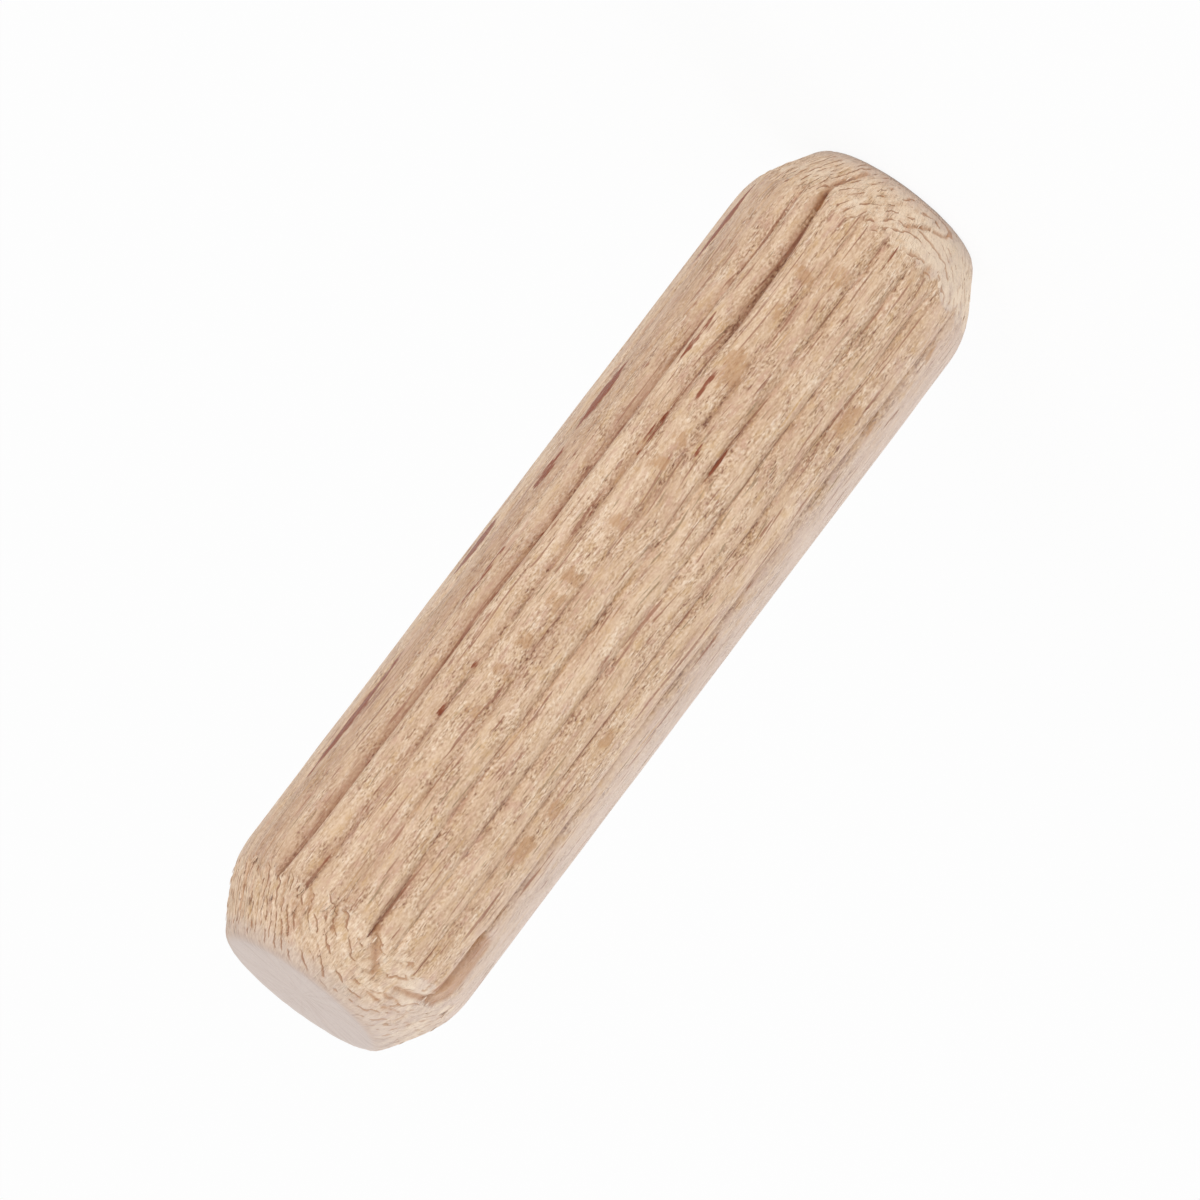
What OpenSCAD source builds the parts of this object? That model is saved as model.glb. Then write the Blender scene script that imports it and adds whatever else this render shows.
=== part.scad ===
// Fluted dowel pin: a short round peg with a tapered lead-in at each end and
// flutes along its whole length, which let glue and air out of the hole.
// It stands on its lower end, with its axis along +Z and its foot on z = 0.

/* [Pin] */
// Diameter over the ridges between the flutes
pin_d = 8; // [6:0.1:14]
// Length from end face to end face
pin_len = 29.8; // [20:0.1:80]

/* [Ends] */
// Length of each lead-in, from the end face to where its slope would meet the wall
lead_len = 2; // [1.5:0.1:3]
// Slope of each lead-in from the axis, in degrees
lead_angle = 31; // [15:1:35]
// Radius that blends each lead-in into the wall
shoulder_r = 3.6; // [0.5:0.1:4]
// Radius on the rim of each end face
rim_r = 0.4; // [0.1:0.05:0.8]

/* [Flutes] */
// Number of flutes around the pin
flute_count = 24; // [8:1:26]
// Width of each flute where it opens on the wall
flute_w = 0.5; // [0.2:0.02:0.66]
// Depth of each flute below the ridges
flute_depth = 0.22; // [0.08:0.01:0.4]
// Angle from +X to the first flute, in degrees
flute_start = 10; // [0:0.5:45]

/* [Hidden] */

wood = [0.83, 0.69, 0.55];

// Facets of the preview; the solid itself is truly round
round_fn = 96;
// Steps that draw the shoulder and the rim of the profile
shoulder_steps = 8;
rim_steps = 5;
// How far a flute's cutter runs past the wall and past each end face
cutter_overrun = 1;

pin_r = pin_d / 2;
// Where the slope of the lead-in would meet the end face
lead_small_r = pin_r - lead_len * tan(lead_angle);
// How far each blend reaches back from its corner
rim_reach = rim_r * tan((90 - lead_angle) / 2);
shoulder_reach = shoulder_r * tan(lead_angle / 2);
// Radius of the flat end face, and height at which the straight wall starts
face_r = lead_small_r - rim_reach;
wall_start = lead_len + shoulder_reach;
// Where the bottom line of a flute runs, and the angle between neighbouring flutes
flute_floor_r = pin_r - flute_depth;
flute_pitch = 360 / flute_count;

// Points of an arc about a centre, each as [radius, height]
function arc_points(centre, r, from_deg, to_deg, steps) = [
    for (i = [0:steps])
        let (a = from_deg + (to_deg - from_deg) * i / steps)
            centre + r * [cos(a), sin(a)]
];

// One end of the profile, from the flat face round the rim and the shoulder to the wall
function end_profile() = concat(
    arc_points([face_r, rim_r], rim_r, -90, -lead_angle, rim_steps),
    arc_points([pin_r - shoulder_r, wall_start], shoulder_r, -lead_angle, 0, shoulder_steps)
);

// The same end turned over, from the wall back to the upper face
function upper_profile(lower) = [
    for (i = [len(lower) - 1:-1:0])
        [lower[i].x, pin_len - lower[i].y]
];

// The peg before it is fluted
module blank() {
    lower = end_profile();
    rotate_extrude($fn = round_fn)
        polygon(concat([[0, 0]], lower, upper_profile(lower), [[0, pin_len]]));
}

// A wedge along the pin that leaves one V-shaped flute, with its sides run on past the wall
module flute_cutter() {
    mouth_r = pin_r + cutter_overrun;
    mouth_half_w = flute_w / 2 * (mouth_r - flute_floor_r) / flute_depth;
    translate([0, 0, -cutter_overrun])
        linear_extrude(height = pin_len + 2 * cutter_overrun)
            polygon([[flute_floor_r, 0], [mouth_r, -mouth_half_w], [mouth_r, mouth_half_w]]);
}

// The cutters of all the flutes
module flute_cutters() {
    for (i = [0:flute_count - 1])
        rotate([0, 0, flute_start + i * flute_pitch])
            flute_cutter();
}

module dowel_pin() {
    color(wood)
        difference() {
            blank();
            flute_cutters();
        }
}

dowel_pin();
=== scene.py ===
"""Fluted beech dowel pin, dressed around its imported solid.

The pin stands on its lower face. Its skin is one grid that runs from the middle of the lower
face, up the wall, to the middle of the upper face. The flutes, the roughly cut lead-ins and
their overlapping shreds are in that grid, loose slivers of wood stand on it as small closed
solids, and the grain of the beech is in the finish.
Sizes inside the classes are millimetres, angles are degrees, and meshes are written in metres.
"""

import logging
import math
from dataclasses import dataclass, field
from enum import Enum

import bpy
import numpy as np
from mathutils import Matrix, Vector


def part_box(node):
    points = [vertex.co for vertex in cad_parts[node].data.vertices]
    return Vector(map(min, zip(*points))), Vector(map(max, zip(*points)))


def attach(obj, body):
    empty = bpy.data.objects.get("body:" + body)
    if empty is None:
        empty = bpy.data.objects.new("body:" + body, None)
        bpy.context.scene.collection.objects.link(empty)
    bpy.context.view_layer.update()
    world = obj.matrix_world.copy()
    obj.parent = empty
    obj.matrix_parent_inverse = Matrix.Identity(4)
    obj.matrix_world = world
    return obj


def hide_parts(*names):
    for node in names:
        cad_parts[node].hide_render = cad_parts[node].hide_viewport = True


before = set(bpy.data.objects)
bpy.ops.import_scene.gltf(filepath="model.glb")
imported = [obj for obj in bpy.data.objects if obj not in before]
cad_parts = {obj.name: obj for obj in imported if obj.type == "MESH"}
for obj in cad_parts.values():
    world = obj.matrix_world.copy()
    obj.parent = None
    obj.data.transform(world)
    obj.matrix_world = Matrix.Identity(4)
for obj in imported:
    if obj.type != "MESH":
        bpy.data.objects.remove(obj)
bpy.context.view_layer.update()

Array = np.ndarray
Colour = tuple[float, float, float]
MM = 0.001
NODE = "dowel_pin"
log = logging.getLogger("dowel_pin")


def smooth_step(low: float | Array, high: float | Array, value: Array) -> Array:
    """Rise from 0 at low to 1 at high, as 3t^2 - 2t^3.

    Args:
        low: where the rise starts.
        high: where it ends, above or below low.
        value: where it is wanted.

    Returns:
        The share of the rise, from 0 to 1, at each value.
    """
    t = np.clip((value - low) / (high - low), 0.0, 1.0)
    return t * t * (3.0 - 2.0 * t)


def hill(distance: Array) -> Array:
    """Bell (1 - d^2)^2 that is 1 at distance 0 and 0 from distance 1 on."""
    return np.clip(1.0 - distance**2, 0.0, 1.0) ** 2


def turn_between(angle: Array, centre: float) -> Array:
    """Signed turn in degrees from centre to each angle, from -180 to 180."""
    return (angle - centre + 180.0) % 360.0 - 180.0


def lattice_noise(around: Array, along: Array, cells: int, seed: int) -> Array:
    """Random values on a lattice, blended smoothly between its points, which close up around the pin.

    Args:
        around: how far round the pin, where 1 is a whole turn.
        along: place along the pin, counted in lattice cells.
        cells: lattice cells in a whole turn.
        seed: seed of the lattice's values.

    Returns:
        Values from -1 to 1, in the shape of around and along together.
    """
    around, along = np.broadcast_arrays(around, along)
    column = np.floor(around * cells).astype(int)
    row = np.floor(along).astype(int)
    across = smooth_step(0.0, 1.0, around * cells - column)
    up = smooth_step(0.0, 1.0, along - row)
    values = np.random.default_rng(seed).uniform(-1.0, 1.0, (cells, row.max() - row.min() + 2))
    left, right = column % cells, (column + 1) % cells
    row = row - row.min()
    lower = values[left, row] * (1.0 - across) + values[right, row] * across
    upper = values[left, row + 1] * (1.0 - across) + values[right, row + 1] * across
    return lower * (1.0 - up) + upper * up


@dataclass(frozen=True)
class Ripple:
    """Unevenness of one size, which is the same every time.

    Attributes:
        height: its greatest height above and below zero.
        length: length of a cell along the pin, in millimetres.
        cells: cells in a whole turn.
        seed: seed of its values.
    """

    height: float
    length: float
    cells: int
    seed: int

    def at(self, around: Array, along: Array) -> Array:
        """Its height at places round the pin, where 1 is a whole turn, and along it."""
        return self.height * lattice_noise(around, along / self.length, self.cells, self.seed)


class Side(Enum):
    """Which side of a flute slopes gently down into it, counted round from +X."""

    BOTH = "both"
    BEFORE = "before"
    AFTER = "after"


class FleckShape(Enum):
    """How a broad ray shows where it is cut: as a pointed spindle, or as a squarish patch."""

    SPINDLE = "spindle"
    PATCH = "patch"


@dataclass(frozen=True)
class PressMark:
    """A stretch of one flute that was pressed deeper than the rest.

    Attributes:
        flute: number of the flute, counted round from +X.
        start: upper end of the stretch, in millimetres below the upper face.
        end: lower end of the stretch, measured the same way.
        extra: how much deeper its bottom line lies.
        side: the side that slopes gently.
        shade_and_stain: how much painted shade and stain darken the stretch.
        bend: how far it strays sideways at its lower end, in degrees.
        upper_bend: how far it strays at its upper end.
        ease: share of the stretch over which its depth fades at either end.
        longest_rise: the longest distance that this takes at the upper end.
    """

    flute: int
    start: float
    end: float
    extra: float
    side: Side = Side.BOTH
    shade_and_stain: float = 0.5
    bend: float = 0.0
    upper_bend: float = 0.0
    ease: float = 0.35
    longest_rise: float = 1.8

    def bend_at(self, below: Array) -> Array:
        """How far the mark strays sideways at a distance below the upper face, in degrees."""
        reach = smooth_step(self.start, self.end, below)
        return self.bend * reach**2 + self.upper_bend * (1.0 - reach) ** 2

    def fade(self, below: Array) -> Array:
        """Share of the mark's depth at a distance below the upper face, eased at both its ends."""
        ease = self.ease * (self.end - self.start)
        rise = smooth_step(self.start, self.start + min(ease, self.longest_rise), below)
        return rise * smooth_step(self.end, self.end - ease, below)


@dataclass(frozen=True)
class FleckRow:
    """A row of like flecks, where the broad rays of the beech are cut through.

    Attributes:
        shape: the flecks' shape.
        angle: how far round from +X the row runs.
        depths: middles of the flecks, in millimetres below the upper face.
        length: length of a fleck along the pin.
        width: width of a fleck round the pin.
        strength: how strongly its colour shows, where 1 is full.
        full: level at which the colour of a fleck of full strength stops rising.
    """

    shape: FleckShape
    angle: float
    depths: tuple[float, ...]
    length: float
    width: float
    strength: float = 1.0
    full: float = 0.45

    def level(self, around: Array, along: Array) -> Array:
        """How far inside the row's flecks each point is.

        A spindle's level is 1 - along^2 - |across| and a patch's is 1 - (along^4 + across^4)^(1/4),
        with both distances counted in half sizes of the fleck.

        Args:
            around: distance round the pin from the row's line.
            along: distance below the upper face.

        Returns:
            0 at a fleck's edge, rising inside it to full * strength, and down to -1 outside.
        """
        across = np.abs(around) / (self.width / 2.0)
        level = np.full(np.broadcast(around, along).shape, -1.0)
        for depth in self.depths:
            off = (along - depth) / (self.length / 2.0)
            if self.shape is FleckShape.SPINDLE:
                inside = 1.0 - off**2 - across
            else:
                inside = 1.0 - (off**4 + across**4) ** 0.25
            level = np.maximum(level, np.minimum(inside, self.full * self.strength))
        return level


@dataclass(frozen=True)
class Gouge:
    """A line along which the wood broke or was pressed away.

    Attributes:
        line: its corners, each an angle from +X and a distance from the nearer end face.
        depth: depth of its bottom.
        width: its half width.
        shade_and_stain: how dark its painted shade and stain are.
        flat: share of the half width that its flat bottom takes.
        upper: whether it is on the upper end.
        radius: distance from the axis at which its width is measured.
    """

    line: tuple[tuple[float, float], ...]
    depth: float
    width: float
    shade_and_stain: float = 1.0
    flat: float = 0.0
    upper: bool = True
    radius: float = 3.7

    def level(self, angle: Array, end_height: Array, upper: Array) -> Array:
        """How far into the gouge each point is: 1 - d / width, with d the distance to its line.

        Args:
            angle: how far round from +X.
            end_height: distance from the nearer end.
            upper: 1 on the upper half of the pin and 0 on the lower one.

        Returns:
            1 on the bottom, falling to 0 beside the gouge.
        """
        first = self.line[0][0]
        across = np.radians(turn_between(angle, first)) * self.radius
        corners = [(math.radians(turn - first) * self.radius, far) for turn, far in self.line]
        nearest = np.full(np.broadcast(across, end_height).shape, self.width)
        for (x0, y0), (x1, y1) in zip(corners, corners[1:]):
            run_x, run_y = x1 - x0, y1 - y0
            share = ((across - x0) * run_x + (end_height - y0) * run_y) / (run_x**2 + run_y**2)
            share = np.clip(share, 0.0, 1.0)
            gap = np.hypot(across - x0 - share * run_x, end_height - y0 - share * run_y)
            nearest = np.minimum(nearest, gap)
        level = np.clip((1.0 - nearest / self.width) / (1.0 - self.flat), 0.0, 1.0)
        return level * (upper == float(self.upper))


@dataclass(frozen=True)
class Outline:
    """The pin's side outline, from the middle of its lower face to the middle of its upper face.

    Attributes:
        radius: radius over the ridges.
        length: length from face to face.
        lead_length: length of a lead-in, to where its slope would meet the wall.
        lead_angle: slope of a lead-in from the axis.
        shoulder_radius: radius that blends a lead-in into the wall.
        rim_radius: radius on the rim of an end face.
        face_rows, rim_rows, lead_rows, shoulder_rows: grid rows on each part of an end.
        wall_rows: grid rows on the whole wall.
        shoulder_crowding: power that draws a shoulder's rows towards the lead-in.
    """

    radius: float
    length: float
    lead_length: float = 2.0
    lead_angle: float = 31.0
    shoulder_radius: float = 3.6
    rim_radius: float = 0.6
    face_rows: int = 6
    rim_rows: int = 6
    lead_rows: int = 42
    shoulder_rows: int = 19
    wall_rows: int = 96
    shoulder_crowding: float = 1.3

    @property
    def face_radius(self) -> float:
        """Radius of the flat part of an end face."""
        slope = math.radians(self.lead_angle)
        reach = self.rim_radius * math.tan((math.pi / 2 - slope) / 2)
        return self.radius - self.lead_length * math.tan(slope) - reach

    @property
    def wall_start(self) -> float:
        """Height at which the straight wall starts."""
        return self.lead_length + self.shoulder_radius * math.tan(math.radians(self.lead_angle) / 2)

    def lower_end(self) -> Array:
        """Rows of the lower end: the flat face, the rim's arc, the sloping line and the shoulder's arc.

        Returns:
            One row for each grid row: radius, height, and the outward direction's two parts.
        """
        slope = math.radians(self.lead_angle)
        flat = np.linspace(0.0, self.face_radius, self.face_rows + 1)[1:]
        face = np.stack([flat, 0 * flat, 0 * flat, 0 * flat - 1.0], 1)
        turn = np.linspace(-math.pi / 2, -slope, self.rim_rows + 1)[1:]
        rim_out = np.stack([np.cos(turn), np.sin(turn)], 1)
        rim = np.array([self.face_radius, self.rim_radius]) + self.rim_radius * rim_out
        turn = -slope * (1.0 - np.linspace(0.0, 1.0, self.shoulder_rows) ** self.shoulder_crowding)
        out = np.stack([np.cos(turn), np.sin(turn)], 1)
        centre = np.array([self.radius - self.shoulder_radius, self.wall_start])
        shoulder = centre + self.shoulder_radius * out
        share = np.linspace(0.0, 1.0, self.lead_rows + 2)[1:-1, None]
        lead = rim[-1] * (1.0 - share) + shoulder[0] * share
        lead_out = np.broadcast_to([math.cos(slope), -math.sin(slope)], lead.shape)
        parts = [face, np.hstack([rim, rim_out]), np.hstack([lead, lead_out]), np.hstack([shoulder, out])]
        return np.vstack(parts)

    def rows(self) -> Array:
        """All the rows: the lower end, the straight wall, and the lower end again, turned over."""
        lower = self.lower_end()
        height = np.linspace(self.wall_start, self.length - self.wall_start, self.wall_rows + 2)[1:-1]
        ones = np.ones_like(height)
        wall = np.stack([ones * self.radius, height, ones, 0 * ones], 1)
        upper = lower[::-1] * [1.0, -1.0, 1.0, -1.0] + [0.0, self.length, 0.0, 0.0]
        return np.vstack([lower, wall, upper])

    def radius_at(self, end_height: Array) -> Array:
        """Radius of the outline at a distance from the nearer end, with its rim and shoulder blended."""
        end = self.lower_end()[self.face_rows :]
        return np.interp(end_height, end[:, 1], end[:, 0])


@dataclass(frozen=True)
class Flutes:
    """The straight flutes pressed into the wall, with rounded ridges between them.

    A place round the pin is counted in flutes, so each flute's bottom line is at a whole number.

    Attributes:
        count: flutes around the pin.
        start: how far the first flute lies from +X.
        depth: depth of a plain flute below the ridges.
        depth_spread: least and greatest share of that depth that a flute has.
        faint_share: share of it that a faint flute keeps.
        round_share: share of the depth that the rounding of the ridges takes.
        steepness: power that keeps the rest of the depth close to the bottom line.
        gentle_power: power of a press mark's depth on the side that slopes gently.
        shade_and_stain_power: power that keeps a press mark's painted shade and stain on the bottom line on
            the other side.
        lean: how far a ridge's crest lies past the middle, as a share of the pitch.
        lean_spread: least and greatest chance change of the lean.
        leans: flutes after which the crest lies elsewhere, each with its own lean.
        crowding: how much closer the grid columns lie at a flute than on average.
        shift_reach: distance beside a flute over which its shift fades out, in flutes.
        sway, jitter: how the flutes stray sideways, in degrees.
        unevenness: how a flute's depth changes along it, as a share of its depth.
        shifts: flutes that were pressed beside their even place, each with its shift in degrees.
        faint: flutes that were pressed much less deep.
        marks: stretches that were pressed deeper.
        bands: darker bands, each with its place in flutes, half width in flutes and darkness.
        seed: seed of the differences between the flutes.
    """

    count: int = 24
    start: float = 10.0
    depth: float = 0.18
    depth_spread: tuple[float, float] = (0.75, 1.15)
    faint_share: float = 0.22
    round_share: float = 0.85
    steepness: float = 4.0
    gentle_power: float = 2.2
    shade_and_stain_power: float = 7.0
    lean: float = -0.1
    lean_spread: tuple[float, float] = (-0.04, 0.06)
    leans: tuple[tuple[int, float], ...] = ((20, 0.16), (19, 0.04))
    crowding: float = 0.55
    shift_reach: float = 0.95
    sway: Ripple = Ripple(0.2, 8.0, 24, 11)
    jitter: Ripple = Ripple(0.12, 2.2, 48, 14)
    unevenness: Ripple = Ripple(0.45, 1.8, 24, 13)
    shifts: tuple[tuple[int, float], ...] = ()
    faint: tuple[int, ...] = ()
    marks: tuple[PressMark, ...] = ()
    bands: tuple[tuple[float, float, float], ...] = ()
    seed: int = 11

    @property
    def pitch(self) -> float:
        """Angle from one flute to the next."""
        return 360.0 / self.count

    def crowded(self, place: Array) -> Array:
        """Place of each grid column, drawn towards the flutes: p - crowding * sin(2 pi p) / (2 pi)."""
        return place - self.crowding * np.sin(2.0 * math.pi * place) / (2.0 * math.pi)

    def angle(self, place: Array, height: Array, length: float) -> Array:
        """Angle round the pin of each grid column, which strays with the flutes.

        Args:
            place: how far round, in flutes.
            height: height above the lower face.
            length: length of the pin.

        Returns:
            The angle in degrees from +X.
        """
        turn = place / self.count
        stray = self.sway.at(turn, height) + self.jitter.at(turn, height)
        for flute, shift in self.shifts:
            stray = stray + shift * hill((place - flute) / self.shift_reach)
        for mark in self.marks:
            stray = stray + mark.bend_at(length - height) * hill((place - mark.flute) / self.shift_reach)
        return self.start + self.pitch * self.crowded(place) + stray

    def place_at(self, angle: Array) -> Array:
        """Place of an angle round the pin, by repeating p = a + crowding * sin(2 pi p) / (2 pi)."""
        even = (angle - self.start) / self.pitch
        place = even
        for _ in range(24):
            place = even + self.crowding * np.sin(2.0 * math.pi * place) / (2.0 * math.pi)
        return place

    def nearness(self, turned: Array) -> tuple[Array, Array, Array]:
        """How near points are to the bottom line of their flute.

        Args:
            turned: how far round they are, in even steps from flute to flute.

        Returns:
            The flute's number, the nearness from 0 on a crest to 1 on the bottom line, and whether
            the point comes after that line.
        """
        share = turned % 1.0
        lean = self.lean + np.random.default_rng(self.seed + 4).uniform(*self.lean_spread, self.count)
        for flute, own in self.leans:
            lean[flute] = own
        crest = 0.5 + lean[np.floor(turned).astype(int) % self.count]
        after = share < crest
        near = np.where(after, 1.0 - share / crest, (share - crest) / (1.0 - crest))
        number = (np.floor(turned) + np.where(after, 0, 1)).astype(int) % self.count
        return number, near, after

    def drop(self, place: Array, height: Array, length: float) -> tuple[Array, Array]:
        """Depth of the wall below the ridges, and the painted shade and stain of the flutes.

        With nearness n it is depth * (round_share * n^2 + (1 - round_share) * n^steepness), and
        a press mark adds extra * n^steepness, or extra * n^gentle_power on the side that slopes
        gently. Its painted shade and stain go as n there, and as n^shade_and_stain_power on the other side.

        Args:
            place: how far round, in flutes.
            height: height above the lower face.
            length: length of the pin.

        Returns:
            The depth in millimetres, and the painted shade and stain from 0 to about 1.
        """
        number, near, after = self.nearness(self.crowded(place))
        own = np.random.default_rng(self.seed + 1).uniform(*self.depth_spread, self.count)
        own[list(self.faint)] *= self.faint_share
        steep = near**self.steepness
        depth = self.depth * own[number] * (1.0 + self.unevenness.at((number + 0.5) / self.count, height))
        drop = depth * (self.round_share * near**2 + (1.0 - self.round_share) * steep)
        shade_and_stain = np.broadcast_to(0.0, drop.shape)
        for mark in self.marks:
            fade = mark.fade(length - height) * (number == mark.flute)
            gentle = {Side.BOTH: False, Side.AFTER: after, Side.BEFORE: ~after}[mark.side]
            drop = drop + mark.extra * fade * np.where(gentle, near**self.gentle_power, steep)
            # A press mark paints shade and stain: broad on its gentle side, close to its bottom line on the
            # other.
            shade_and_stain = shade_and_stain + mark.shade_and_stain * fade * np.where(gentle, near, near**self.shade_and_stain_power)
        for middle, half, dark in self.bands:
            shade_and_stain = shade_and_stain + dark * hill((place - middle) / half)
        return drop, shade_and_stain


@dataclass(frozen=True)
class Skin:
    """A grid of points over the pin with what the finish reads at each point.

    Attributes:
        points: points by row and column, in millimetres.
        along: how far along the outline each row lies, from 0 to 1.
        shares: named values at the points, each by row and column.
    """

    points: Array
    along: Array
    shares: dict[str, Array]


@dataclass(frozen=True)
class TornLayers:
    """Shreds that the cutter tore along the wood's layers, and the splits between them.

    The layers are flat, parallel and upright, so a layer keeps its distance r * cos(a) from the
    pin's axis, with a counted from the direction square to the layers.

    Attributes:
        square: that direction, from +X.
        thickness: thickness of a shred.
        belt: width of wood across which each ripple's cells are counted.
        slant: how far the shreds climb along the layers.
        slow, quick: how the layers wander, in thicknesses.
        cover, mask: where the shreds stand, and where the splits are open.
        cover_rise, mask_rise: levels of these ripples between which that comes in.
        bare: height of the shreds where they are lowest, as a share of the full one.
        fibre: where the splits run.
        split_level: level of this ripple at which a split ends.
        flat_share: share of the tearing that is left where the layers lie flat on the surface.
        lower_share: share of it that is left on the lower end.
    """

    square: float = 250.0
    thickness: float = 0.45
    belt: float = 16.0
    slant: float = 0.6
    slow: Ripple = Ripple(1.3, 1.3, 36, 7)
    quick: Ripple = Ripple(0.6, 0.45, 100, 8)
    cover: Ripple = Ripple(1.0, 0.9, 30, 9)
    mask: Ripple = Ripple(1.0, 0.45, 80, 15)
    cover_rise: tuple[float, float] = (-0.5, 0.4)
    mask_rise: tuple[float, float] = (0.0, 0.4)
    bare: float = 0.25
    fibre: Ripple = Ripple(1.0, 0.7, 76, 14)
    split_level: float = 0.22
    flat_share: float = 0.2
    lower_share: float = 0.6

    def at(self, angle: Array, radius: Array, height: Array, lower: Array) -> tuple[Array, Array]:
        """Depth of the shreds and of the splits.

        The shreds are the fraction of a phase that grows with a layer's distance, and a split is a
        narrow band where the fibre ripple is zero.

        Args:
            angle: how far round from +X.
            radius: distance from the pin's axis.
            height: height above the lower face.
            lower: whether the place is on the lower half of the pin.

        Returns:
            How deep the surface lies below the shreds' free ends, and how deep the splits are, both
            from 0 to 1.
        """
        off = np.radians(turn_between(angle, self.square))
        across = radius * np.cos(off)
        strip = across / self.belt
        along = height + self.slant * radius * np.sin(off)
        phase = across / self.thickness + self.slow.at(strip, along) + self.quick.at(strip, along)
        cover = self.bare + (1.0 - self.bare) * smooth_step(*self.cover_rise, self.cover.at(strip, along))
        split = np.clip(1.0 - np.abs(self.fibre.at(strip, along)) / self.split_level, 0.0, 1.0)
        split = split * smooth_step(*self.mask_rise, self.mask.at(strip, along))
        edgewise = self.flat_share + (1.0 - self.flat_share) * np.abs(np.sin(off))
        edgewise = edgewise * np.where(lower, self.lower_share, 1.0)
        return (phase - np.floor(phase)) * cover * edgewise, split * edgewise


@dataclass(frozen=True)
class CutEdge:
    """The ragged line around each end at which the smooth ridges stop.

    Attributes:
        start: its distance from the end face, on a ridge.
        notch: how much nearer the end it lies in a flute.
        blur: half the width over which the ridges stop.
        uneven, ragged: how it strays, in millimetres.
        ends_apart: cells of those two ripples from one end to the other.
        lip: height of the step along it.
        lip_angle: side of the pin on which the step is highest.
        lip_least: share of that height on the far side of the pin.
        lower_share: height of the step on the lower end, as a share of the upper one's.
        crest: height of the crest along the step, as a share of the step's.
        crest_at: how far from the line that crest runs.
        crest_width: how far from the crest it fades out.
    """

    start: float = 2.15
    notch: float = 0.4
    blur: float = 0.05
    uneven: Ripple = Ripple(0.12, 1.0, 48, 10)
    ragged: Ripple = Ripple(0.06, 1.0, 192, 11)
    ends_apart: float = 3.0
    lip: float = 0.05
    lip_angle: float = 305.0
    lip_least: float = 0.15
    lower_share: float = 0.35
    crest: float = 0.6
    crest_at: float = 0.12
    crest_width: float = 0.2

    def distance(self, turn: Array, upper: Array, near: Array) -> Array:
        """Distance of the line from the end face.

        Args:
            turn: how far round the pin, where 1 is a whole turn.
            upper: 1 on the upper half of the pin and 0 on the lower one.
            near: nearness to a flute's bottom line.

        Returns:
            The distance in millimetres.
        """
        end = upper * self.ends_apart
        return self.start - self.notch * near**2 + self.uneven.at(turn, end) + self.ragged.at(turn, end)

    def step(self, angle: Array, past: Array, lower: Array, cut: Array) -> Array:
        """Height of the step, which goes as the square of the cosine of the turn from lip_angle.

        Args:
            angle: how far round from +X.
            past: distance from the line, counted away from the end face.
            lower: whether the place is on the lower half of the pin.
            cut: 1 on the rough side of the line, and 0 on the other.

        Returns:
            The height in millimetres: above zero along the crest, and below it on the rough side.
        """
        facing = np.clip(np.cos(np.radians(angle - self.lip_angle)), 0.0, 1.0) ** 2
        step = self.lip * (self.lip_least + (1.0 - self.lip_least) * facing)
        step = step * np.where(lower, self.lower_share, 1.0)
        return step * (self.crest * hill((past - self.crest_at) / self.crest_width) - cut)


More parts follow.
